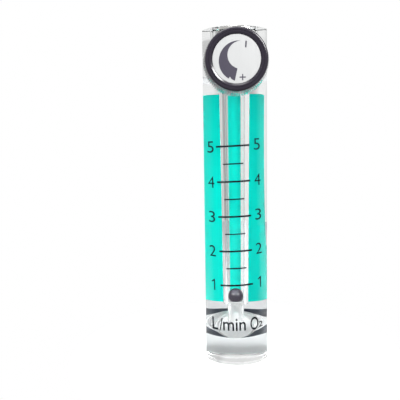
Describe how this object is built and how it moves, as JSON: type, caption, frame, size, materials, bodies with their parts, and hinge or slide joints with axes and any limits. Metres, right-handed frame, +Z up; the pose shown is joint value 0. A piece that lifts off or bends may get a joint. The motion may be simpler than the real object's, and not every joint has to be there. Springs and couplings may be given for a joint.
{
  "type": "oxygen flowmeter",
  "caption": "Clear acrylic block flowmeter with a tapered bore and ball float, a printed scale, a needle valve with a round knob at the top front, and ports at the back.",
  "frame": {"origin": "the metering bore's axis on the block's flat bottom", "axes": "+Z up along the bore, -Y out of the front where the scale and the knob are"},
  "size_m": [0.025, 0.0362, 0.132],
  "materials": {
    "clear_acrylic": "clear cast acrylic, polished on every face",
    "film": "turquoise self-adhesive film bonded to the back",
    "ink": "black screen-printed ink",
    "white_plastic": "white turned acetal",
    "black_glass": "polished black glass ball",
    "nickel": "nickel-plated turned brass",
    "seal": "black rubber sealing ring",
    "steel": "turned stainless steel",
    "knob_plastic": "black moulded plastic with a satin shine",
    "bush": "turned brass",
    "skirt": "bright aluminium with a fine straight knurl",
    "disc": "satin silver disc with a printed turning mark"
  },
  "bodies": {
    "meter": {"acrylic_body": "clear_acrylic", "backing_film": "film", "scale_lines": "ink", "ball_seat": "white_plastic", "float_stop": "white_plastic", "bore_plug": "nickel", "plug_ring": "seal", "valve_body": "nickel", "front_body_ring": "seal", "rear_body_ring": "seal"},
    "stem_slider": {"stem_ring": "seal", "stem_clip": "steel"},
    "knob": {"valve_stem": "steel", "knob_body": "knob_plastic", "knob_bush": "bush", "knob_skirt": "skirt", "knob_disc": "disc", "set_screw": "steel"},
    "float": {"float_ball": "black_glass"}
  },
  "joints": [
    {"name": "stem_travel", "type": "slide", "parent": "meter", "child": "stem_slider", "axis": [0, -1, 0], "range_m": [0, 0.002]},
    {"name": "knob_turn", "type": "hinge", "parent": "stem_slider", "child": "knob", "pos_m": [0, -0.02, 0.1177], "axis": [0, -1, 0], "range_deg": [0, 1440]},
    {"name": "float_rise", "type": "slide", "parent": "meter", "child": "float", "axis": [0, 0, 1], "range_m": [0, 0.0802]}
  ],
  "couplings": [
    {"joint": "stem_travel", "follows": "knob_turn", "m_per_rad": 0.000079577}
  ]
}
